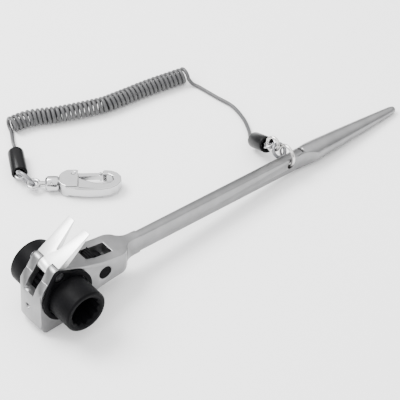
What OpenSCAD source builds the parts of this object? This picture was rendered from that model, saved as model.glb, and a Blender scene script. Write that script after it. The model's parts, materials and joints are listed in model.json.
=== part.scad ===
// Ratcheting spud wrench with a double-ended socket head, a folding lifting claw,
// and a coiled tether with a swivel snap hook.
// Tool frame of the wrench modules: X runs from the nose to the tapered spike,
// Y is the socket axis, Z is up and the origin is where the socket axis meets
// the middle plane of the head. stance() lays the tool on the floor z = 0.

/* [Head] */
// Thickness of the head across both cheeks
head_w = 23; // [22.8:0.1:23.2]
// Width of the slot between the two cheeks
slot_w = 9.5; // [9.4:0.1:9.6]
// Radius of the rounded nose lug around the claw pin
lug_r = 4.4; // [4.3:0.05:4.45]

/* [Bar and spike] */
// Full height of the straight bar
bar_h = 14.4; // [13.8:0.2:15]
// Full thickness of the straight bar
bar_t = 7; // [6.6:0.1:7.4]
// Distance from the socket axis to the spike's point
spike_end = 303; // [301:1:306]
// Largest radius of the spike
spike_r = 7.4; // [7.2:0.1:7.6]
// Radius of the tether hole through the bar
tether_hole_r = 2.9; // [2.8:0.1:3]

/* [Double socket] */
// Outer radius of the front socket barrel
front_r = 15; // [14.9:0.05:15]
// Distance of the front socket's end from the middle plane
front_end = 33.3; // [31:0.1:35]
// Size across flats of the front socket
front_af = 19; // [17:1:21]
// Outer radius of the rear socket barrel
rear_r = 16.3; // [16.1:0.1:17]
// Distance of the rear socket's end from the middle plane
rear_end = 27.6; // [26:0.1:31]
// Size across flats of the rear socket
rear_af = 21; // [19:1:22]
// Number of teeth on the ratchet wheel
teeth = 24; // [24:12:24]

/* [Claw] */
// Full width of the claw
claw_w = 22.3; // [21:0.1:23]
// Length of the claw from its pin to its tips
claw_len = 32.8; // [30:0.2:36]
// Angle of the claw above the bar at rest
claw_angle = 34.5; // [34.5:0.5:34.5]
// Gap between the claw's two tips
claw_gap = 10.4; // [9:0.2:12]

/* [Tether] */
// Diameter of the cord
cord_d = 2.8; // [2.2:0.1:2.8]
// Outer diameter of the coiled length
coil_d = 12.6; // [12:0.1:13]
// Diameter of the end sleeves on the cord
sleeve_d = 11.6; // [11:0.1:11.8]
// Length of the front end sleeve; the rear one is 1.5 longer
sleeve_len = 23; // [22.8:0.1:23.2]
// Full thickness of the snap hook's base
hook_t = 10.6; // [10:0.1:11]

/* [Hidden] */
$fn = 72;
tilt = 4.25;
claw_pin = [-6.5, 19];
lever_c = [31.3, 0];
pawl_c = [20.3, 0];
gear_tip = 15.5;
gear_root = 14.1;
brake_a = 198.2;
hook_at = [-71.6, 93.5, 5.6];
hook_a = -38.8;
gate_c = [9.4, 5.0];

// Centre and direction of each small link between the bar and the cord
link_a = [199.15, 1.85, 6.55];
link_b = [197.6, 8.25, 7];
link_c = [195.85, 13.2, 10.3];
link_s = [-88.2, 110.7, 8.0];

// Route points along the middle of each stretch of cord, on the floor
coil_path = [[-63.9, 165.2, 6.35], [-48.5, 162.6, 6.35], [-29.2, 152.2, 6.35],
             [-1.5, 140.6, 6.35], [10.8, 137.9, 6.35], [40.5, 133.4, 6.35], [69.0, 127.2, 6.35]];
front_path = [[69.6, 127.2, 1.45], [72.5, 122.5, 1.45], [71, 114, 1.45], [73, 98, 1.45],
              [75.5, 82, 1.45], [72.5, 66, 1.6], [67.2, 54, 1.9], [62.8, 47.4, 3],
              [61.26, 43.8, 4.3], [60.6, 41, 5.9]];
rear_path = [[-64.5, 165.3, 1.45], [-67.4, 162.6, 1.45], [-69.2, 157.5, 1.6], [-71.4, 151, 3.0],
             [-74.2, 144.6, 5.8], [-76.2, 140.8, 5.9]];

function arc(c, r, a0, a1, n) = [for (i = [0:n])
    [c[0] + r * cos(a0 + (a1 - a0) * i / n), c[1] + r * sin(a0 + (a1 - a0) * i / n)]];
function unit(v) = v / norm(v);
function spline(p, i, t) = let (a = p[max(i - 1, 0)], b = p[i], c = p[i + 1],
    d = p[min(i + 2, len(p) - 1)])
    0.5 * (2 * b + (c - a) * t + (2 * a - 5 * b + 4 * c - d) * t * t
    + (3 * b - a - 3 * c + d) * t * t * t);
function route(p, n) = concat([for (i = [0:len(p) - 2]) for (k = [0:n - 1])
    spline(p, i, k / n)], [p[len(p) - 1]]);
function aim(q, i) = unit(q[min(i + 1, len(q) - 1)] - q[max(i - 1, 0)]);
function ring(q, i, r, m) = let (t = aim(q, i), s = unit(cross([0, 0, 1], t)), u = cross(t, s))
    [for (k = [0:m - 1]) q[i] + r * cos(360 * k / m) * s + r * sin(360 * k / m) * u];

// Places a wrench piece so that the head's foot and the spike's point rest on the floor
module stance() {
    translate([-150.82, 2.85, 0]) rotate([0, tilt, 0]) translate([9.5, 0, 26]) children();
}

// Extrudes a side view drawn in X and Z across the head's thickness
module across(w) {
    rotate([90, 0, 0]) linear_extrude(height = w, center = true) children();
}

// Extrudes a side view from one Y value to another
module between(y0, y1) {
    translate([0, y1, 0]) rotate([90, 0, 0]) linear_extrude(height = y1 - y0) children();
}

// A round closed tube swept along a list of points
module tube(q, r, m) {
    n = len(q);
    pts = [for (i = [0:n - 1]) each ring(q, i, r, m)];
    sides = [for (i = [0:n - 2]) for (k = [0:m - 1])
        [i * m + k, i * m + (k + 1) % m, (i + 1) * m + (k + 1) % m, (i + 1) * m + k]];
    first = [for (k = [0:m - 1]) m - 1 - k];
    last = [for (k = [0:m - 1]) (n - 1) * m + k];
    polyhedron(points = pts, faces = concat([first, last], sides), convexity = 6);
}

// A wire ring of middle radius r and wire radius w, with its axis along Z
module wire_ring(r, w) {
    rotate_extrude($fn = 48) translate([r, 0]) circle(r = w, $fn = 24);
}

// The side outline of the head and neck
module head_outline() {
    foot = tan(tilt);
    polygon(concat(
        arc(claw_pin, lug_r, 66, 146, 10),
        [[-12, 18.7], [-14.1, 15.2], [-16, 11.2], [-17.7, 7], [-19.4, 2], [-19.4, -20]],
        [[-18.8, -23], [-17.6, -25.2], [-15.5, -26 - 6 * foot], [-3.5, -26 + 6 * foot]],
        [[0, -24.4], [4, -21.6], [9, -18.2], [15, -14.9], [22, -12.2], [29, -10.4]],
        [[36, -9.3], [44, -8.4], [56, -7.5], [66, -bar_h / 2], [66, bar_h / 2]],
        [[56, 7.7], [44, 8.6], [36, 9.6], [29, 10.8], [22, 12.9], [15, 15.2], [8, 17.7]],
        [[1, 20.46]]));
}

// The plan outline of the head, with the sweep down to the bar
module head_plan() {
    s = [11.5 - 10.15, 3.5 + 10.15];
    side = concat([[-24, head_w / 2]], arc([44, s[0]], 10.15, 90, 38, 8),
        arc([60, s[1]], 10.15, 218, 270, 8), [[66, 3.5]]);
    polygon(concat(side, [for (i = [len(side) - 1:-1:0]) [side[i][0], -side[i][1]]]));
}

module nose_pad() {
    intersection() {
        translate([4.7, 0, -27]) cylinder(r = 26.7, h = 43, $fn = 120);
        across(head_w) polygon([[-23, -17.5], [-23, -4], [-22.3, 0.5], [-21, 4.6],
            [-19.2, 8.6], [-17, 12], [-14.6, 14.6], [-12, 14.6], [-12, -24], [-18.8, -23]]);
    }
}

module bar() {
    h = bar_h / 2;
    t = bar_t / 2;
    rotate([90, 0, 90]) translate([0, 0, 44]) linear_extrude(height = 166)
        polygon([[t, -h + 1.5], [t, h - 1.5], [t - 0.5, h - 0.5], [t - 1.5, h],
            [1.5 - t, h], [0.5 - t, h - 0.5], [-t, h - 1.5], [-t, 1.5 - h],
            [0.5 - t, 0.5 - h], [1.5 - t, -h], [t - 1.5, -h], [t - 0.5, 0.5 - h]]);
}

module spike() {
    e = spike_end;
    rotate([0, 90, 0]) rotate_extrude()
        polygon([[0, 199], [6, 199], [6.8, 205], [spike_r - 0.1, 213], [spike_r, 218],
            [spike_r - 0.1, 224], [6.8, 234], [6.25, e - 57], [5.15, e - 38], [4.2, e - 22],
            [3.3, e - 8], [3, e - 4], [2.4, e - 1.6], [1.4, e - 0.4], [0, e]]);
}

// Cuts that turn the round spike into the flat bar with a curved run-out
module run_out() {
    for (s = [-1, 1]) translate([0, s * (bar_t / 2 + 42.5), -10]) {
        translate([205, 0, 0]) cylinder(r = 42.5, h = 20, $fn = 180);
        translate([150, -42.5, 0]) cube([55, 85, 20]);
    }
}

module wrench_body() color([0.72, 0.72, 0.72]) stance() difference() {
    union() {
        intersection() {
            across(head_w) head_outline();
            translate([0, 0, -40]) linear_extrude(height = 80) head_plan();
        }
        nose_pad();
        bar();
        difference() {
            spike();
            run_out();
        }
    }
    // wheel pocket and the two bores that carry the double socket
    across(slot_w) circle(r = 15.95);
    between(-13, -4) circle(r = front_r + 0.05);
    between(4, 13) circle(r = gear_tip + 0.05);
    between(-13, -10.3) circle(r = 17);
    // slot for the claw's hub, open at the top and front of the nose
    across(slot_w) translate(claw_pin) circle(r = 4.65);
    across(slot_w) polygon([[-25, 4], [-8, 4], [-6.5, 14.35], [-1.85, 19], [1.6, 21.5],
        [1.6, 30], [-25, 30]]);
    across(30) translate(claw_pin) circle(r = 3);
    // pockets for the pawl and the reversing lever
    across(slot_w) polygon([[11, -9.8], [20, -9.8], [24.5, -8.9], [26.5, -6],
        [26.5, 8.9], [20, 9.8], [11, 9.8]]);
    across(10.2) translate(lever_c) circle(r = 7.2);
    across(10.2) polygon([[20, 0], [41.3, 0], [41.3, 20], [20, 20]]);
    across(30) translate(lever_c) circle(r = 2.5);
    between(-13, -9.7) translate(lever_c) circle(r = 4.8);
    between(-8, 13) translate(pawl_c) circle(r = 1.6);
    // brake bore through the nose
    rotate([0, -brake_a, 0]) rotate([0, 90, 0]) translate([0, 0, 14]) cylinder(r = 2, h = 14);
    // tether hole
    across(20) translate([199, 0.7]) circle(r = tether_hole_r);
}

module twelve_point(af, y0, y1) {
    between(y0, y1) for (a = [0, 30]) rotate(a) circle(r = af / 2 / cos(30), $fn = 6);
}

// One piece: ratchet wheel in the middle, a twelve-point socket on each side
module double_socket() color([0.13, 0.13, 0.14]) stance() difference() {
    rotate([90, 0, 0]) rotate_extrude() polygon([[9, -rear_end], [rear_r - 0.8, -rear_end],
        [rear_r, 0.8 - rear_end], [rear_r, -13.2], [rear_r - 0.4, -12.8], [gear_tip, -11.8],
        [gear_tip, 4.4], [front_r, 4.6], [front_r, 10.35], [14.2, 10.35], [14.2, 11.45],
        [front_r, 11.45], [front_r, front_end - 1], [front_r - 1, front_end],
        [9, front_end]]);
    for (i = [0:teeth - 1]) rotate([0, 360 / teeth * (i + 0.5), 0]) between(-5, 4.4)
        polygon([[gear_root, -0.45], [gear_tip + 1, -1.65], [gear_tip + 1, 1.65],
            [gear_root, 0.45]]);
    twelve_point(front_af, -front_end - 1, -12);
    twelve_point(rear_af, 9, rear_end + 1);
    translate([0, -front_end - 0.1, 0]) rotate([-90, 0, 0]) cylinder(r1 = 12.1, r2 = 9.3, h = 2.6);
    translate([0, rear_end + 0.1, 0]) rotate([90, 0, 0]) cylinder(r1 = 13.2, r2 = 10.2, h = 2.6);
}

// Black keyhole plate on the near cheek, around the barrel and the claw pin
module retaining_plate() color([0.16, 0.16, 0.17]) stance() difference() {
    union() {
        between(-14.25, -11.5) circle(r = 18.7);
        between(-14.25, -11.5) polygon(concat(arc(claw_pin, lug_r, 66, 146, 10),
            [[-12, 18.7], [-14.1, 15.2], [-16, 11.2], [-17.3, 7.1], [-10, 5], [0, 15],
            [3.5, 18.2]]));
    }
    between(-15, -11) circle(r = 15.35);
    between(-15, -11) translate(claw_pin) circle(r = 3.7);
}

// Open spring ring in the groove of the barrel, behind the plate
module snap_ring() color([0.35, 0.35, 0.36]) stance() between(-11.35, -10.45) difference() {
    circle(r = 16.5);
    circle(r = 14.25);
    polygon([[0, 0], [-8, -30], [8, -30]]);
}

module pawl_half() {
    across(8.2) rotate(-22.5) polygon([[14.5, -0.25], [16.4, -1.2], [17, -1.4], [17.3, 2],
        [16.4, 1.2], [14.5, 0.25]]);
    across(8.2) polygon([[15.3, -7.4], [16.1, -4.4], [18, -1.6], [20.3, 0], [22.4, -1.4],
        [23.2, -3.6], [22, -6], [19.6, -7.6]]);
}

// Two-ended pawl that swings about its pin, lower tooth in the wheel
module pawl() color([0.3, 0.3, 0.31]) stance() difference() {
    union() {
        pawl_half();
        translate([pawl_c[0], 0, pawl_c[1]]) rotate([0, 6, 0]) mirror([0, 0, 1])
            rotate([0, -6, 0]) translate([-pawl_c[0], 0, -pawl_c[1]]) pawl_half();
        across(8.2) translate(pawl_c) circle(r = 2.6);
    }
    across(10) translate(pawl_c) circle(r = 1.65);
}

module pawl_pin() color([0.6, 0.6, 0.6]) stance() between(-7.8, 11.4) translate(pawl_c)
    circle(r = 1.6);

// Ridged thumb lever that rocks in the slot on top of the neck
module reversing_lever() color([0.12, 0.12, 0.12]) stance() difference() {
    across(9.6) translate(lever_c) difference() {
        union() {
            circle(r = 6.8);
            polygon(concat([[0, 0]], arc([0, 0], 13, 104, 139, 10)));
        }
        circle(r = 2.55);
        for (a = [109:6.5:136]) rotate(a) translate([13.2, 0]) circle(r = 0.75, $fn = 24);
    }
    translate([lever_c[0], 0, lever_c[1]]) rotate([0, -207.5, 0]) rotate([0, 90, 0])
        translate([0, 0, 3.4]) cylinder(r = 1.25, h = 6);
}

module lever_pin() color([0.12, 0.12, 0.12]) stance() {
    between(-10, 11.4) translate(lever_c) circle(r = 2.5);
    between(-11, -9.8) translate(lever_c) circle(r = 4.7);
}

module lever_ball() color([0.8, 0.8, 0.8]) stance() translate([lever_c[0], 0, lever_c[1]])
    rotate([0, -207.5, 0]) translate([6.9, 0, 0]) sphere(r = 1.2);

module lever_spring() color([0.6, 0.6, 0.6]) stance() translate([lever_c[0], 0, lever_c[1]])
    rotate([0, -207.5, 0]) rotate([0, 90, 0]) translate([0, 0, 3.45]) cylinder(r = 1, h = 2.2);

module brake_ball() color([0.8, 0.8, 0.8]) stance() rotate([0, -brake_a, 0])
    translate([17.5, 0, 0]) sphere(r = 1.7);

module brake_spring() color([0.6, 0.6, 0.6]) stance() rotate([0, -brake_a, 0])
    rotate([0, 90, 0]) translate([0, 0, 19.25]) cylinder(r = 1.5, h = 1.3);

module grub_screw() color([0.25, 0.25, 0.25]) stance() rotate([0, -brake_a, 0])
    rotate([0, 90, 0]) difference() {
        translate([0, 0, 20.6]) cylinder(r = 1.95, h = 1.5);
        translate([0, 0, 21.4]) cylinder(r = 1, h = 2, $fn = 6);
    }

// Forked claw on a hub between the cheeks
module claw() color([0.88, 0.88, 0.88]) stance() translate([claw_pin[0], 0, claw_pin[1]])
    rotate([0, -claw_angle, 0]) difference() {
        union() {
            difference() {
                across(claw_w) polygon([[2, 3.4], [claw_len, 3.4], [claw_len, 2.6],
                    [24.4, 1], [15.4, -0.8], [9, -1.8], [2, -1.9]]);
                // flat base face that stops on the cheeks
                rotate([0, 58.5, 0]) translate([-20, -20, -20]) cube([40, 40, 24.7]);
            }
            across(slot_w - 0.6) circle(r = 4.2);
            across(slot_w - 0.6) polygon([[0, 0], [2.47, 3.4], [8.5, 3.4], [8.5, -1.7],
                [3.7, -1.9]]);
        }
        across(20) circle(r = 3.05);
        translate([0, 0, -10]) linear_extrude(height = 20) polygon([[11.9, -0.7],
            [claw_len + 1, -claw_gap / 2], [claw_len + 1, claw_gap / 2], [11.9, 0.7]]);
    }

module claw_pin_rod() color([0.75, 0.75, 0.75]) stance() difference() {
    union() {
        between(-12.6, 13.2) translate(claw_pin) circle(r = 3);
        between(-12.9, -11.66) translate(claw_pin) circle(r = 3.6);
    }
    between(-14, -12) translate(claw_pin) circle(r = 1.8);
    between(12.35, 12.85) translate(claw_pin) difference() {
        circle(r = 3.9);
        circle(r = 2.5);
    }
}

// Open clip in the groove at the far end of the claw pin
module claw_clip() color([0.3, 0.3, 0.3]) stance() between(12.38, 12.82) translate(claw_pin)
    difference() {
        circle(r = 3.7);
        circle(r = 2.55);
        polygon([[0, 0], [-3, 5], [3, 5]]);
    }

module bar_link() color([0.75, 0.75, 0.75]) stance() translate(link_a)
    rotate([0, 90, -1.1]) wire_ring(7.2, 1.2);

module middle_link() color([0.75, 0.75, 0.75]) stance() translate(link_b)
    rotate([0, 48.7, -88.6]) wire_ring(4.8, 1.25);

module sleeve_link() color([0.8, 0.8, 0.8]) stance() translate(link_c)
    rotate([0, 75.6, 188.4]) wire_ring(4.8, 1.2);

// Hollow end sleeve with a rounded shoulder, along X from the cord to its open mouth
module sleeve(len) {
    r = sleeve_d / 2;
    rotate([0, 90, 0]) rotate_extrude() polygon([[0, 0], [3, 0], [r - 1.6, 0.5], [r - 0.5, 1.7],
        [r, 3.5], [r, len - 0.4], [r - 0.4, len], [3.8, len], [3.8, len - 7], [0, len - 7]]);
}

// Crimped wire eye standing in a sleeve's open mouth
module sleeve_eye(len) {
    translate([len - 7, 0, 0]) rotate([0, 90, 0]) cylinder(r = 2, h = 6.3);
    translate([len + 2.2, 0, 0]) wire_ring(2.9, 0.8);
}

module front_place() {
    translate([60.6, 41, 5.9]) rotate([0, 0, -103.2]) rotate([0, -29, 0]) children();
}

module rear_place() {
    translate([-76.2, 140.8, 5.9]) rotate([0, 0, -117.6]) rotate([0, -1.2, 0]) children();
}

module front_sleeve() color([0.13, 0.13, 0.13]) front_place() sleeve(sleeve_len);
module front_eye() color([0.75, 0.75, 0.75]) front_place() rotate([8, 0, 0])
    sleeve_eye(sleeve_len);
module rear_sleeve() color([0.13, 0.13, 0.13]) rear_place() sleeve(sleeve_len + 1.5);
module rear_eye() color([0.75, 0.75, 0.75]) rear_place()
    sleeve_eye(sleeve_len + 1.5);
module front_cord() color([0.5, 0.5, 0.5]) tube(route(front_path, 2), cord_d / 2, 8);
module rear_cord() color([0.5, 0.5, 0.5]) tube(route(rear_path, 2), cord_d / 2, 8);
module cord_coil() color([0.5, 0.5, 0.5]) tube(route(coil_path, 2), coil_d / 2, 16);

// Snap hook pieces use a local frame: X along the hook, Y towards the gate, Z up
module hook_place() {
    translate(hook_at) rotate([0, 0, hook_a]) children();
}

module shackle_link() color([0.6, 0.6, 0.6]) translate(link_s) rotate([0, 67.2, 8.8])
    wire_ring(7, 1.4);

module swivel_eye() color([0.85, 0.85, 0.85]) hook_place() difference() {
    union() {
        translate([-18.3, 0, 0]) wire_ring(4, 1.4);
        translate([-14.6, 0, 0]) rotate([0, 90, 0]) cylinder(r = 2, h = 12.6);
        translate([-3.6, 0, 0]) rotate([0, 90, 0]) cylinder(r = 3.2, h = 1.6);
    }
    translate([-18.3, 0, -3]) cylinder(r = 2.6, h = 6);
}

module swivel_collar() color([0.85, 0.85, 0.85]) hook_place() difference() {
    rotate([0, 90, 0]) rotate_extrude() polygon([[2.06, -10], [4, -10], [5.4, -8.4],
        [5.4, -1.6], [4.6, -0.4], [0, -0.4], [0, -1.6], [3.6, -1.6], [3.6, -4.0], [2.06, -4.0]]);
    for (a = [45:90:315]) rotate([a, 0, 0]) translate([-5.4, 0, 5]) cylinder(r = 0.8, h = 2);
}

module hook_outline() {
    difference() {
        polygon([[-0.4, -3.5], [1.5, -6.4], [5, -8.4], [11, -9.6], [20, -10.6], [29, -10.4],
            [35.5, -9.2], [40.5, -6], [43, -1.4], [42.6, 3], [40, 6.4], [36, 8.6], [31.4, 9.2],
            [29.6, 8.4], [29.6, 4.6], [33.6, 4.8], [36.6, 2.8], [37.4, -0.4], [35.4, -3.2],
            [31, -4.6], [24, -3.4], [15.5, 0.4], [12.6, 3], [12.6, 8.2], [9, 9.2], [4.5, 8.4],
            [1.2, 6], [-0.4, 3.5]]);
    }
}

module hook_body() color([0.85, 0.85, 0.85]) hook_place() difference() {
    union() {
        translate([0, 0, -3.8]) linear_extrude(height = 7.6) hook_outline();
        intersection() {
            translate([0, 0, -hook_t / 2]) linear_extrude(height = hook_t) hook_outline();
            translate([-1, -8, -6]) cube([14, 16.6, 12]);
        }
    }
    // slot for the gate and the pin's bore
    translate([4, -1.8, -2.3]) cube([13.4, 15, 4.6]);
    translate([28, 3, -2.3]) cube([3.6, 8, 4.6]);
    translate([gate_c[0], gate_c[1], -7]) cylinder(r = 1.2, h = 14);
}

module hook_gate() color([0.8, 0.8, 0.8]) hook_place() difference() {
    union() {
        translate([gate_c[0], gate_c[1], -2]) cylinder(r = 3, h = 4);
        translate([0, 0, -2]) linear_extrude(height = 4) polygon([[gate_c[0], 2.4],
            [12.8, 4.5], [29.2, 5.2], [30.6, 5.6], [30.6, 7.6], [29.2, 8], [gate_c[0], 8]]);
        translate([28.2, 6.4, -3.4]) cylinder(r = 1, h = 6.8);
    }
    translate([gate_c[0], gate_c[1], -7]) cylinder(r = 1.25, h = 14);
}

module gate_pin() color([0.5, 0.5, 0.5]) hook_place() translate([gate_c[0], gate_c[1], -5.2])
    cylinder(r = 1.2, h = 10.4);

module gate_spring() color([0.5, 0.5, 0.5]) hook_place() translate([5.2, 5, 0])
    rotate([90, 0, 0]) cylinder(r = 0.8, h = 3);

wrench_body();
double_socket();
retaining_plate();
snap_ring();
pawl();
pawl_pin();
reversing_lever();
lever_pin();
lever_ball();
lever_spring();
brake_ball();
brake_spring();
grub_screw();
claw();
claw_pin_rod();
claw_clip();
bar_link();
middle_link();
sleeve_link();
front_sleeve();
front_eye();
rear_sleeve();
rear_eye();
front_cord();
rear_cord();
cord_coil();
shackle_link();
swivel_eye();
swivel_collar();
hook_body();
hook_gate();
gate_pin();
gate_spring();
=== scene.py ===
"""Ratcheting hydrant wrench with its coiled tether: the looks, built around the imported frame.

All sizes are in metres in the row frame, unless a name ends in _mm.
"""

import json
import logging
import math
from dataclasses import dataclass
from enum import Enum

import bmesh
import bpy
from mathutils import Matrix, Vector

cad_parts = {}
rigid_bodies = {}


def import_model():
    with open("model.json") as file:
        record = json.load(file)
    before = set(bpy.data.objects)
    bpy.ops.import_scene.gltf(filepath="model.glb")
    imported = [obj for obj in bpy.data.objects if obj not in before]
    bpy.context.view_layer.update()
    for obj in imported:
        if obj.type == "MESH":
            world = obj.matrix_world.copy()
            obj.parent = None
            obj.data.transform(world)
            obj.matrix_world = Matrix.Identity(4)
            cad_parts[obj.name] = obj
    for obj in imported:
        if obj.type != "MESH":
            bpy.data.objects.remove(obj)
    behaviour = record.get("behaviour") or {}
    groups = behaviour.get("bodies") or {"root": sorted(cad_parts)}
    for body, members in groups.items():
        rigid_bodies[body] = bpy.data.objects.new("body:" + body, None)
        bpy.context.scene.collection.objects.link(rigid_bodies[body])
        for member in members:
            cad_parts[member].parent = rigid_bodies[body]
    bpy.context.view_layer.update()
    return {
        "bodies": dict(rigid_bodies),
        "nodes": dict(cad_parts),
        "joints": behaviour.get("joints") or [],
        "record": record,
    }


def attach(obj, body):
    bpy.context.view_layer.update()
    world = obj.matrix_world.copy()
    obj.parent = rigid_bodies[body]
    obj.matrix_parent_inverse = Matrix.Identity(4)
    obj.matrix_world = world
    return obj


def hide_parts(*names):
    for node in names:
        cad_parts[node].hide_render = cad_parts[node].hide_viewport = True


log = logging.getLogger("hydrant_wrench")

MM = 0.001
TILT = math.radians(4.25)
TOOL_LOW_MM = (9.5, 26.0)
TOOL_SHIFT_MM = (-150.82, 2.85)
MERGE = 2e-6
FLAT = math.radians(0.6)


class Body(Enum):
    """The moving bodies that a piece can ride on."""

    WRENCH = "wrench"
    SOCKETS = "sockets"
    PAWL = "pawl"
    LEVER = "lever"
    CLAW = "claw"
    HOOK = "hook"
    GATE = "gate"


def tool_point(x: float, y: float, z: float) -> Vector:
    """Turns a point of the tool's own frame into the row frame.

    Args:
        x: Millimetres from the socket axis towards the spike.
        y: Millimetres along the socket axis.
        z: Millimetres above the middle plane of the bar.

    Returns:
        The point in metres in the row frame.
    """
    dx, dz = x + TOOL_LOW_MM[0], z + TOOL_LOW_MM[1]
    return Vector((
        math.cos(TILT) * dx + math.sin(TILT) * dz + TOOL_SHIFT_MM[0],
        y + TOOL_SHIFT_MM[1],
        -math.sin(TILT) * dx + math.cos(TILT) * dz,
    )) * MM


def in_tool(point: Vector) -> Vector:
    """Turns a point of the row frame into the tool's own frame.

    Args:
        point: The point in metres.

    Returns:
        The point in millimetres in the tool's frame.
    """
    return Matrix.Rotation(-TILT, 3, "Y") @ ((point - tool_point(0, 0, 0)) / MM)


def catmull(points: list[Vector], per_span: int) -> list[Vector]:
    """Runs a smooth curve through a few points.

    Args:
        points: The points to pass through.
        per_span: How many steps to take between two of them.

    Returns:
        The denser list, ending on the last point.
    """
    out: list[Vector] = []
    last = len(points) - 1
    for i in range(last):
        a, b = points[max(i - 1, 0)], points[i]
        c, d = points[i + 1], points[min(i + 2, last)]
        for k in range(per_span):
            t = k / per_span
            out.append(0.5 * (2 * b + (c - a) * t + (2 * a - 5 * b + 4 * c - d) * t * t
                              + (3 * b - a - 3 * c + d) * t ** 3))
    return out + [points[last].copy()]


def even(points: list[Vector], step: float) -> list[Vector]:
    """Spaces points evenly along a polyline.

    Args:
        points: The polyline.
        step: The wanted distance between neighbours, in metres.

    Returns:
        The evenly spaced points, with both ends kept.
    """
    lengths = [0.0]
    for a, b in zip(points, points[1:]):
        lengths.append(lengths[-1] + (b - a).length)
    count = max(2, round(lengths[-1] / step))
    out, j = [], 0
    for i in range(count + 1):
        want = lengths[-1] * i / count
        while j < len(points) - 2 and lengths[j + 1] < want:
            j += 1
        span = lengths[j + 1] - lengths[j] or 1.0
        out.append(points[j].lerp(points[j + 1], (want - lengths[j]) / span))
    return out


def wire(name: str, points: list[Vector], radius: float) -> bpy.types.Object:
    """Makes a round wire or cord as a curve of one open spline.

    Args:
        name: The piece's name.
        points: Its middle line.
        radius: Its radius in metres.

    Returns:
        The new curve object.
    """
    data = bpy.data.curves.new(name, "CURVE")
    data.dimensions = "3D"
    data.bevel_depth = radius
    data.bevel_resolution = 3
    data.use_fill_caps = True
    spline = data.splines.new("POLY")
    spline.points.add(len(points) - 1)
    for slot, p in zip(spline.points, points):
        slot.co = (*p, 1.0)
    spline.use_smooth = True
    obj = bpy.data.objects.new(name, data)
    bpy.context.scene.collection.objects.link(obj)
    return obj


def helix(start: Vector, end: Vector, radius: float, turns: float) -> list[Vector]:
    """Winds a straight helix between two points.

    Args:
        start: The first end of its axis.
        end: The other end of its axis.
        radius: The radius of its middle line.
        turns: How many turns it takes.

    Returns:
        Points along the wire, sixteen to a turn.
    """
    axis = (end - start).normalized()
    side = axis.orthogonal().normalized()
    up = axis.cross(side)
    count = int(16 * turns)
    return [start.lerp(end, i / count)
            + radius * (math.cos(math.tau * turns * i / count) * side
                        + math.sin(math.tau * turns * i / count) * up)
            for i in range(count + 1)]


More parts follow.
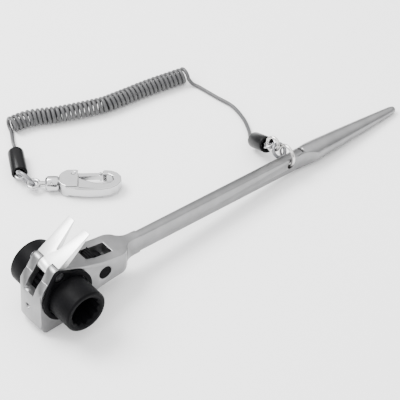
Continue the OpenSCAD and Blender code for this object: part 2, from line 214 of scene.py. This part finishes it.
@dataclass(frozen=True)
class Finish:
    """A procedural surface with fine grain, slow tone changes and uneven gloss."""

    name: str
    base: tuple[float, float, float]
    metallic: float
    roughness: float
    grain_scale: float = 2600.0
    grain_depth: float = 0.12
    tone: float = 0.08
    gloss_change: float = 0.06
    streak: tuple[float, float, float] = (1.0, 1.0, 1.0)
    coat: float = 0.0
    specular: float = 0.5

    def material(self) -> bpy.types.Material:
        """Gives the finish's material, and makes it the first time it is asked for.

        Returns:
            The material.
        """
        found = bpy.data.materials.get(self.name)
        if found:
            return found
        mat = bpy.data.materials.new(self.name)
        mat.use_nodes = True
        tree = mat.node_tree
        shader = tree.nodes["Principled BSDF"]
        shader.inputs["Metallic"].default_value = self.metallic
        shader.inputs["Coat Weight"].default_value = self.coat
        shader.inputs["Specular IOR Level"].default_value = self.specular
        shader.inputs["Coat Roughness"].default_value = 0.18
        coords = tree.nodes.new("ShaderNodeTexCoord")
        mapping = tree.nodes.new("ShaderNodeMapping")
        mapping.inputs["Scale"].default_value = self.streak
        tree.links.new(coords.outputs["Object"], mapping.inputs["Vector"])
        self._tone(tree, shader, mapping)
        self._gloss(tree, shader, mapping)
        self._grain(tree, shader, mapping)
        return mat

    def _noise(self, tree: bpy.types.NodeTree, mapping: bpy.types.Node, scale: float,
               detail: float) -> bpy.types.Node:
        """Adds a noise texture that reads the mapped coordinates.

        Args:
            tree: The material's nodes.
            mapping: The node that gives the coordinates.
            scale: The noise's scale per metre.
            detail: How many finer layers it holds.

        Returns:
            The noise node.
        """
        noise = tree.nodes.new("ShaderNodeTexNoise")
        noise.inputs["Scale"].default_value = scale
        noise.inputs["Detail"].default_value = detail
        tree.links.new(mapping.outputs["Vector"], noise.inputs["Vector"])
        return noise

    def _tone(self, tree: bpy.types.NodeTree, shader: bpy.types.Node,
              mapping: bpy.types.Node) -> None:
        """Varies the colour slowly over the surface.

        Args:
            tree: The material's nodes.
            shader: The surface shader.
            mapping: The node that gives the coordinates.
        """
        noise = self._noise(tree, mapping, 95.0, 4.0)
        ramp = tree.nodes.new("ShaderNodeValToRGB")
        low, high = ramp.color_ramp.elements
        low.position, high.position = 0.32, 0.7
        low.color = (*(c * (1 - self.tone) for c in self.base), 1)
        high.color = (*(min(1.0, c * (1 + self.tone)) for c in self.base), 1)
        tree.links.new(noise.outputs["Fac"], ramp.inputs["Fac"])
        tree.links.new(ramp.outputs["Color"], shader.inputs["Base Color"])

    def _gloss(self, tree: bpy.types.NodeTree, shader: bpy.types.Node,
               mapping: bpy.types.Node) -> None:
        """Varies the roughness in small patches.

        Args:
            tree: The material's nodes.
            shader: The surface shader.
            mapping: The node that gives the coordinates.
        """
        noise = self._noise(tree, mapping, 420.0, 3.0)
        span = tree.nodes.new("ShaderNodeMapRange")
        span.inputs["To Min"].default_value = max(0.02, self.roughness - self.gloss_change)
        span.inputs["To Max"].default_value = min(1.0, self.roughness + self.gloss_change)
        tree.links.new(noise.outputs["Fac"], span.inputs["Value"])
        tree.links.new(span.outputs["Result"], shader.inputs["Roughness"])

    def _grain(self, tree: bpy.types.NodeTree, shader: bpy.types.Node,
               mapping: bpy.types.Node) -> None:
        """Adds the fine bump of the blasted, ground or moulded skin.

        Args:
            tree: The material's nodes.
            shader: The surface shader.
            mapping: The node that gives the coordinates.
        """
        noise = self._noise(tree, mapping, self.grain_scale, 2.0)
        bump = tree.nodes.new("ShaderNodeBump")
        bump.inputs["Strength"].default_value = self.grain_depth
        bump.inputs["Distance"].default_value = 0.05 * MM
        tree.links.new(noise.outputs["Fac"], bump.inputs["Height"])
        tree.links.new(bump.outputs["Normal"], shader.inputs["Normal"])


BLASTED = Finish("satin_blasted_steel", (0.235, 0.235, 0.238), 0.95, 0.32, 2600.0, 0.18, 0.09)
BRIGHT = Finish("bright_satin_steel", (0.80, 0.80, 0.80), 0.8, 0.42, 1800.0, 0.10, 0.03)
OXIDE = Finish("black_oxide", (0.003, 0.003, 0.0035), 0.0, 0.5, 2200.0, 0.14, 0.25, specular=0.05)
# Real black oxide on the plate, pin and grub screw; also painted on the head's pocket and bore
# walls as painted shade, standing in for the shadow in those deep recesses.
OXIDE_MATT_AND_POCKET_SHADE = Finish("black_oxide_matt_and_pocket_shade", (0.0025, 0.0025, 0.003), 0.0, 0.55, 2000.0, 0.15, 0.2,
                    specular=0.03)
HARDENED = Finish("dark_hardened_steel", (0.10, 0.10, 0.105), 0.9, 0.38)
GROUND = Finish("ground_steel", (0.58, 0.58, 0.59), 1.0, 0.25, 2400.0, 0.06, 0.05)
SPRING = Finish("dark_spring_steel", (0.20, 0.20, 0.21), 0.9, 0.34)
NICKEL = Finish("nickel_plate", (0.62, 0.61, 0.60), 1.0, 0.22, 1500.0, 0.05, 0.08)
DULL = Finish("dull_plated_steel", (0.22, 0.22, 0.23), 0.95, 0.30, 1600.0, 0.10, 0.12)
CHROME = Finish("bright_plated_casting", (0.50, 0.50, 0.505), 1.0, 0.13, 500.0, 0.05, 0.03, 0.04)
MOULDED = Finish("black_moulded_plastic", (0.003, 0.003, 0.0035), 0.0, 0.3, 1900.0, 0.2, 0.15,
                 specular=0.15)
VINYL = Finish("grey_vinyl_skin", (0.068, 0.068, 0.070), 0.0, 0.34, 1400.0, 0.08, 0.10,
               specular=0.35)


def dress(obj: bpy.types.Object, finish: Finish, body: Body | None = None) -> bpy.types.Object:
    """Gives a piece its finish, and its body if it is a new piece.

    Args:
        obj: The piece or CAD node.
        finish: Its finish.
        body: The body that a new piece rides on.

    Returns:
        The same object.
    """
    obj.data.materials.clear()
    obj.data.materials.append(finish.material())
    if body is not None:
        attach(obj, body.value)
    return obj


@dataclass(frozen=True)
class PaintedShadePockets:
    """The lever's pocket and the brake's bore, whose walls are painted black matt as painted
    shade for the deep, shadowed recesses.
    """

    half_width: float = 5.1
    far_wall: float = 41.3
    hub_at: float = 31.3
    hub_radius: float = 7.2
    bore_angle: float = 198.2
    bore_radius: float = 2.0
    bore_start: float = 14.0
    near_x: float = 24.0
    slack: float = 0.1
    hub_slack: float = 0.4

    def holds(self, face: bmesh.types.BMFace) -> bool:
        """Tells whether a face of the head is one of those walls.

        Args:
            face: A face of the wrench body, in the row frame.

        Returns:
            True for a wall of the pocket or of the bore.
        """
        at = in_tool(face.calc_center_median())
        facing = Matrix.Rotation(-TILT, 3, "Y") @ face.normal
        axis = Vector((math.cos(math.radians(self.bore_angle)), 0,
                       math.sin(math.radians(self.bore_angle))))
        along = at.dot(axis)
        if ((at - axis * along).length < self.bore_radius + self.slack
                and abs(facing.dot(axis)) < 0.3 and along > self.bore_start):
            return True
        if (abs(at.y) > self.half_width + self.slack
                or not self.near_x < at.x < self.far_wall + self.slack):
            return False
        hub = math.hypot(at.x - self.hub_at, at.z)
        return (abs(abs(at.y) - self.half_width) < self.slack
                or abs(at.x - self.far_wall) < self.slack
                or abs(hub - self.hub_radius) < self.hub_slack and abs(facing.y) < 0.1)


@dataclass(frozen=True)
class FitZone:
    """A drum about the socket axis in which edges stay sharp, so that fits stay clear."""

    radius: float
    depth: float
    from_x: float = -100.0

    def holds(self, point: Vector) -> bool:
        """Tells whether a point of the row frame is in the zone.

        Args:
            point: The point, in metres.

        Returns:
            True inside the drum and past its first x.
        """
        at = in_tool(point)
        return (math.hypot(at.x, at.z) < self.radius and abs(at.y) < self.depth
                and at.x > self.from_x)


@dataclass
class SoftenedPart:
    """A machined or cast part whose hard edges are broken by a small radius."""

    node: str
    finish: Finish
    body: Body
    edge: float
    segments: int = 2
    angle: float = 30.0
    clamp: bool = False
    painted_shade_pockets: PaintedShadePockets | None = None
    sharp: tuple[FitZone, ...] = ()

    def build(self, frame: dict) -> bpy.types.Object:
        """Copies the part's shape, merges it and rounds its edges.

        Args:
            frame: The loaded frame.

        Returns:
            The finished piece, standing for its node.
        """
        bm = bmesh.new()
        bm.from_mesh(frame["nodes"][self.node].data)
        bmesh.ops.remove_doubles(bm, verts=bm.verts, dist=MERGE)
        bmesh.ops.dissolve_limit(bm, angle_limit=FLAT, verts=bm.verts, edges=bm.edges)
        bmesh.ops.recalc_face_normals(bm, faces=bm.faces)
        for face in bm.faces:
            face.smooth = True
            # Pocket and bore walls take the second slot, black matt: painted shade for the
            # shadowed recesses.
            if self.painted_shade_pockets and self.painted_shade_pockets.holds(face):
                face.material_index = 1
        self._mark(bm)
        mesh = bpy.data.meshes.new(self.node + "_soft")
        bm.to_mesh(mesh)
        bm.free()
        obj = bpy.data.objects.new(self.node + "_soft", mesh)
        bpy.context.scene.collection.objects.link(obj)
        self._bevel(obj, "WEIGHT")
        dress(obj, self.finish, self.body)
        # The second slot is the black matt finish, used as painted shade on the pocket and bore
        # walls.
        if self.painted_shade_pockets:
            obj.data.materials.append(OXIDE_MATT_AND_POCKET_SHADE.material())
        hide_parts(self.node)
        return obj

    def _mark(self, bm: bmesh.types.BMesh) -> None:
        """Marks the hard edges to round, and those at a fit that stay sharp.

        Args:
            bm: The part's merged mesh.
        """
        weight = bm.edges.layers.float.new("bevel_weight_edge")
        for edge in bm.edges:
            middle = (edge.verts[0].co + edge.verts[1].co) / 2
            if not edge.is_manifold or edge.calc_face_angle() <= math.radians(self.angle):
                continue
            if any(zone.holds(middle) for zone in self.sharp):
                edge.smooth = False
            else:
                edge[weight] = 1.0

    def _bevel(self, obj: bpy.types.Object, limit: str) -> None:
        """Adds the modifier that rounds the edges.

        Args:
            obj: The piece or node.
            limit: How the edges are chosen, by WEIGHT or by ANGLE.
        """
        bevel = obj.modifiers.new("broken_edges", "BEVEL")
        bevel.width = self.edge
        bevel.segments = self.segments
        bevel.limit_method = limit
        bevel.angle_limit = math.radians(self.angle)
        bevel.harden_normals = True
        bevel.use_clamp_overlap = self.clamp

    def soften_in_place(self, frame: dict) -> bpy.types.Object:
        """Rounds the edges of the node itself with modifiers, and leaves its mesh alone.

        Args:
            frame: The loaded frame.

        Returns:
            The node.
        """
        obj = frame["nodes"][self.node]
        weld = obj.modifiers.new("joined_skin", "WELD")
        weld.merge_threshold = MERGE
        flat = obj.modifiers.new("whole_faces", "DECIMATE")
        flat.decimate_type = "DISSOLVE"
        flat.angle_limit = FLAT
        self._bevel(obj, "ANGLE")
        return dress(obj, self.finish)


@dataclass
class Sleeve:
    """A hollow moulded end sleeve, turned about the cord's line."""

    node: str
    length_mm: float
    place: tuple[float, float, float]
    heading: float
    dip: float
    radius_mm: float = 5.8
    bore_mm: float = 3.8
    shoulder_mm: float = 3.3
    floor_mm: float = 7.0
    steps: int = 56

    def matrix(self) -> Matrix:
        """Returns the sleeve's place in the row frame, for points in metres."""
        return (Matrix.Translation(Vector(self.place) * MM)
                @ Matrix.Rotation(math.radians(self.heading), 4, "Z")
                @ Matrix.Rotation(math.radians(self.dip), 4, "Y"))

    def build(self) -> bpy.types.Object:
        """Spins the sleeve's section and stands it in place of its node.

        Returns:
            The finished sleeve.
        """
        r, n = self.radius_mm, self.length_mm
        c = self.shoulder_mm
        shoulder = [(c * (1 - math.cos(a)), r - c + c * math.sin(a))
                    for a in (math.pi / 2 * i / 8 for i in range(9))]
        section = [(0.0, 0.0), *shoulder, (n - 0.6, r), (n - 0.15, r - 0.2), (n, r - 0.6),
                   (n, self.bore_mm + 0.4), (n - 0.4, self.bore_mm),
                   (n - self.floor_mm, self.bore_mm), (n - self.floor_mm, 0.0)]
        bm = bmesh.new()
        verts = [bm.verts.new((x * MM, 0, y * MM)) for x, y in section]
        edges = [bm.edges.new(pair) for pair in zip(verts, verts[1:])]
        bmesh.ops.spin(bm, geom=verts + edges, cent=(0, 0, 0), axis=(1, 0, 0),
                       angle=math.tau, steps=self.steps, use_merge=True)
        bmesh.ops.remove_doubles(bm, verts=bm.verts, dist=1e-6)
        bmesh.ops.recalc_face_normals(bm, faces=bm.faces)
        bmesh.ops.transform(bm, matrix=self.matrix(), verts=bm.verts)
        for face in bm.faces:
            face.smooth = True
        mesh = bpy.data.meshes.new(self.node + "_moulding")
        bm.to_mesh(mesh)
        bm.free()
        mesh.set_sharp_from_angle(angle=math.radians(50))
        obj = bpy.data.objects.new(self.node + "_moulding", mesh)
        bpy.context.scene.collection.objects.link(obj)
        dress(obj, MOULDED, Body.WRENCH)
        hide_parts(self.node)
        return obj


@dataclass
class TetherCord:
    """The coiled cord from one end sleeve to the other."""

    diameter: float = 2.8 * MM
    coil_radius: float = 4.9 * MM
    turns: float = 40.75
    steps: int = 20
    smooth: int = 12
    axis_mm: tuple = ((-63.4, 165.2, 6.35), (-48.5, 162.6, 6.35), (-29.2, 152.2, 6.35),
                      (-1.5, 140.6, 6.35), (10.8, 137.9, 6.35), (40.5, 133.4, 6.35),
                      (68.2, 127.4, 6.35))
    rear_mm: tuple = ((-76.2, 140.8, 5.9), (-74.2, 144.6, 5.8), (-71.4, 150.2, 3.2),
                      (-68.6, 155.4, 1.6), (-65.8, 160.4, 1.45))
    front_mm: tuple = ((68.5, 119.4, 2.6), (70.6, 114.2, 1.5), (73, 98, 1.45), (75.5, 82, 1.45),
                       (72.5, 66, 1.6), (67.2, 54, 1.9), (62.8, 47.4, 3), (61.26, 43.8, 4.3),
                       (60.6, 41, 5.9))
    carried: tuple[str, ...] = (
        "bar_link", "middle_link", "sleeve_link", "front_eye", "rear_eye", "shackle_link",
        "swivel_eye", "gate_pin", "front_sleeve_moulding", "rear_sleeve_moulding",
        "hook_body", "hook_gate", "swivel_collar", "gate_spring_wound")

    def coil(self) -> list[Vector]:
        """Winds the coil's middle line.

        Returns:
            Its points, from the rear end to the front end.
        """
        axis = even(catmull([Vector(p) * MM for p in self.axis_mm], self.smooth), 0.5 * MM)
        count = int(self.turns * self.steps)
        out = []
        for i in range(count + 1):
            at = (len(axis) - 1) * i / count
            j = min(int(at), len(axis) - 2)
            centre = axis[j].lerp(axis[j + 1], at - j)
            along = (axis[min(j + 3, len(axis) - 1)] - axis[max(j - 3, 0)]).normalized()
            side = Vector((0, 0, 1)).cross(along).normalized()
            angle = math.tau * self.turns * i / count
            out.append(centre + self.coil_radius * (math.sin(angle) * side
                                                    - math.cos(angle) * Vector((0, 0, 1))))
        return out

    def route(self) -> list[Vector]:
        """Joins the two straight runs to the coil.

        Returns:
            The whole middle line, from the front sleeve to the rear sleeve.
        """
        coil = self.coil()
        n = self.smooth
        rear = catmull([Vector(p) * MM for p in self.rear_mm] + [coil[0], coil[2]], n)[:-n]
        front = catmull([coil[-3], coil[-1]] + [Vector(p) * MM for p in self.front_mm], n)[n:]
        whole = rear[:-1] + coil + front[1:]
        return list(reversed(whole))

    def build(self, frame: dict) -> bpy.types.Object:
        """Args:
            frame: The loaded frame; not used.

        Returns:
            The cord.
        """
        line = self.route()
        cord = wire("tether_cord", line, self.diameter / 2)
        dress(cord, VINYL, Body.WRENCH)
        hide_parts("front_cord", "rear_cord", "cord_coil")
        return cord


@dataclass
class WoundSpring:
    """A small wire spring in its bore."""

    node: str
    body: Body
    start: Vector
    end: Vector
    coil_mm: float
    wire_mm: float
    turns: float

    def build(self) -> bpy.types.Object:
        """Winds the spring in place of its plain node.

        Returns:
            The spring.
        """
        axis = (self.end - self.start).normalized() * self.wire_mm * MM
        line = helix(self.start + axis, self.end - axis, self.coil_mm * MM, self.turns)
        obj = wire(self.node + "_wound", line, self.wire_mm * MM)
        dress(obj, SPRING, self.body)
        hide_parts(self.node)
        return obj


@dataclass
class Wrench:
    """The head, the bar, the sockets and the small working parts."""

    body_edge: float = 0.45 * MM
    socket_edge: float = 0.22 * MM
    plate_edge: float = 0.3 * MM
    claw_edge: float = 0.3 * MM
    lever_edge: float = 0.15 * MM
    rod_edge: float = 0.15 * MM
    pin_edge: float = 0.25 * MM
    body_fits: tuple[FitZone, ...] = (FitZone(19.5, 40.0), FitZone(28.0, 5.3, 5.0))
    socket_fits: tuple[FitZone, ...] = (FitZone(40.0, 13.0),)
    lever_at_mm: float = 31.3
    plunger_deg: float = 207.5
    plunger_reach_mm: tuple[float, float] = (3.45, 5.65)
    brake_deg: float = 198.2
    brake_reach_mm: tuple[float, float] = (19.25, 20.55)

    def build(self, frame: dict) -> None:
        """Builds and dresses every piece of the tool itself.

        Args:
            frame: The loaded frame.
        """
        for part in (
            # The body's pocket and bore walls are painted black matt as painted shade.
            SoftenedPart("wrench_body", BLASTED, Body.WRENCH, self.body_edge, 3, 32,
                         painted_shade_pockets=PaintedShadePockets(), sharp=self.body_fits),
            SoftenedPart("double_socket", OXIDE, Body.SOCKETS, self.socket_edge, 2, 35,
                         sharp=self.socket_fits),
            SoftenedPart("retaining_plate", OXIDE_MATT_AND_POCKET_SHADE, Body.WRENCH, self.plate_edge, 2, 35),
            SoftenedPart("claw", BRIGHT, Body.CLAW, self.claw_edge, 2, 35),
            SoftenedPart("reversing_lever", OXIDE, Body.LEVER, self.lever_edge, 2, 35),
            SoftenedPart("claw_pin_rod", HARDENED, Body.WRENCH, self.rod_edge, 2, 35),
            SoftenedPart("lever_pin", OXIDE_MATT_AND_POCKET_SHADE, Body.WRENCH, self.pin_edge, 2, 35),
        ):
            part.build(frame)
            log.info("%s softened", part.node)
        for node, finish in {
            "snap_ring": SPRING, "pawl": HARDENED, "pawl_pin": GROUND, "lever_ball": GROUND,
            "brake_ball": GROUND, "grub_screw": OXIDE_MATT_AND_POCKET_SHADE, "claw_clip": SPRING,
        }.items():
            dress(frame["nodes"][node], finish)

    def springs(self) -> None:
        """Winds the lever's and the brake's springs."""
        a = math.radians(self.plunger_deg)
        ends = [tool_point(self.lever_at_mm + r * math.cos(a), 0, r * math.sin(a))
                for r in self.plunger_reach_mm]
        WoundSpring("lever_spring", Body.LEVER, ends[0], ends[1], 0.8, 0.18, 3.5).build()
        b = math.radians(self.brake_deg)
        ends = [tool_point(r * math.cos(b), 0, r * math.sin(b)) for r in self.brake_reach_mm]
        WoundSpring("brake_spring", Body.WRENCH, ends[0], ends[1], 1.25, 0.2, 2.0).build()


@dataclass
class Tether:
    """The links, the sleeves, the swivel hook and the cord."""

    hook_at: tuple[float, float, float] = (-71.6, 93.5, 5.6)
    hook_turn: float = -38.8
    hook_edge: float = 0.8 * MM
    gate_edge: float = 0.25 * MM
    collar_edge: float = 0.3 * MM
    front_sleeve: tuple = (23.0, (60.6, 41, 5.9), -103.2, -29.0)
    rear_sleeve: tuple = (24.5, (-76.2, 140.8, 5.9), -117.6, -1.2)

    def hook_point(self, u: float, w: float, z: float) -> Vector:
        """Turns a point of the hook's own frame into the row frame.

        Args:
            u: Millimetres along the hook.
            w: Millimetres across it, towards the gate.
            z: Millimetres above its middle plane.

        Returns:
            The point in metres in the row frame.
        """
        turned = Matrix.Rotation(math.radians(self.hook_turn), 3, "Z") @ Vector((u, w, z))
        return (Vector(self.hook_at) + turned) * MM

    def build(self, frame: dict) -> None:
        """Builds and dresses every piece of the tether but the cord.

        Args:
            frame: The loaded frame.
        """
        Sleeve("front_sleeve", *self.front_sleeve).build()
        Sleeve("rear_sleeve", *self.rear_sleeve).build()
        for part in (
            SoftenedPart("hook_body", CHROME, Body.HOOK, self.hook_edge, 4, 35),
            SoftenedPart("hook_gate", CHROME, Body.GATE, self.gate_edge, 2, 35, True),
            SoftenedPart("swivel_collar", CHROME, Body.HOOK, self.collar_edge, 3, 25),
        ):
            part.soften_in_place(frame)
        for node, finish in {
            "bar_link": NICKEL, "middle_link": DULL, "sleeve_link": NICKEL,
            "front_eye": GROUND, "rear_eye": GROUND, "shackle_link": DULL,
            "swivel_eye": CHROME, "gate_pin": GROUND,
        }.items():
            dress(frame["nodes"][node], finish)
        WoundSpring("gate_spring", Body.HOOK, self.hook_point(5.2, 5, 0),
                    self.hook_point(5.2, 2, 0), 0.62, 0.16, 4.0).build()


@dataclass(frozen=True)
class Studio:
    """A plain pale floor, soft light and the camera."""

    place: tuple[float, float, float] = (-0.544875, -0.652698, 0.839286)
    right: tuple[float, float, float] = (0.7726, -0.634762, -0.012863)
    up: tuple[float, float, float] = (0.449209, 0.532213, 0.717607)
    lens: float = 156.9385
    floor_half: float = 4.0
    floor_z: float = -0.0002
    surround_z: tuple[float, float] = (0.02, 0.8)
    surround_strength: tuple[float, float] = (0.14, 2.9)

    def camera(self) -> None:
        """Makes the camera."""
        data = bpy.data.cameras.new("studio_camera")
        data.lens, data.sensor_width = self.lens, 36.0
        data.clip_start, data.clip_end = 0.01, 50
        cam = bpy.data.objects.new("studio_camera", data)
        bpy.context.scene.collection.objects.link(cam)
        x, y = Vector(self.right).normalized(), Vector(self.up)
        z = x.cross(y).normalized()
        y = z.cross(x)
        turn = Matrix((x, y, z)).transposed().to_4x4()
        cam.matrix_world = Matrix.Translation(Vector(self.place)) @ turn
        bpy.context.scene.camera = cam

    def floor(self) -> None:
        """Lays the pale floor just under the tool."""
        bm = bmesh.new()
        bmesh.ops.create_grid(bm, x_segments=1, y_segments=1, size=self.floor_half)
        bmesh.ops.translate(bm, verts=bm.verts, vec=(0, 0, self.floor_z))
        mesh = bpy.data.meshes.new("floor")
        bm.to_mesh(mesh)
        bm.free()
        obj = bpy.data.objects.new("floor", mesh)
        bpy.context.scene.collection.objects.link(obj)
        dress(obj, Finish("pale_floor", (0.97, 0.97, 0.97), 0.0, 0.9, 300.0, 0.0, 0.005))

    def light(self, name: str, at: tuple, aim: tuple, size: float, power: float) -> None:
        """Adds a soft square light.

        Args:
            name: The light's name.
            at: Where it hangs.
            aim: The point it faces.
            size: Its side in metres.
            power: Its power in watts.
        """
        data = bpy.data.lights.new(name, "AREA")
        data.shape, data.size, data.energy = "SQUARE", size, power
        obj = bpy.data.objects.new(name, data)
        bpy.context.scene.collection.objects.link(obj)
        obj.matrix_world = (Matrix.Translation(Vector(at)) @ (Vector(aim) - Vector(at))
                            .to_track_quat("-Z", "Y").to_matrix().to_4x4())

    def _shade(self, tree: bpy.types.NodeTree, back: bpy.types.Node) -> None:
        """Makes the surround dim near the horizon and bright overhead.

        Args:
            tree: The world's nodes.
            back: Its background node.
        """
        coords = tree.nodes.new("ShaderNodeTexCoord")
        split = tree.nodes.new("ShaderNodeSeparateXYZ")
        span = tree.nodes.new("ShaderNodeMapRange")
        span.inputs["From Min"].default_value = self.surround_z[0]
        span.inputs["From Max"].default_value = self.surround_z[1]
        span.inputs["To Min"].default_value = self.surround_strength[0]
        span.inputs["To Max"].default_value = self.surround_strength[1]
        tree.links.new(coords.outputs["Generated"], split.inputs["Vector"])
        tree.links.new(split.outputs["Z"], span.inputs["Value"])
        tree.links.new(span.outputs["Result"], back.inputs["Strength"])

    def lights(self) -> None:
        """Hangs the lights and sets the surround, which is bright overhead."""
        world = bpy.data.worlds.new("surround")
        world.use_nodes = True
        back = world.node_tree.nodes["Background"]
        back.inputs["Color"].default_value = (1, 1, 1, 1)
        self._shade(world.node_tree, back)
        bpy.context.scene.world = world
        self.light("key", (-0.35, 0.75, 1.2), (0, 0.05, 0), 0.7, 34.0)
        self.light("side", (-1.1, -0.2, 0.5), (0, 0.03, 0), 0.5, 3.0)


def main() -> None:
    """Builds the pieces in order and logs the softened wrench parts and the finished stages."""
    logging.basicConfig(level=logging.INFO, format="%(name)s: %(message)s")
    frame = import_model()
    studio = Studio()
    studio.camera()
    tether = Tether()
    tether.build(frame)
    log.info("tether fittings built")
    TetherCord().build(frame)
    wrench = Wrench()
    wrench.build(frame)
    wrench.springs()
    log.info("wrench built")
    studio.floor()
    studio.lights()


if __name__ == "__main__":
    main()
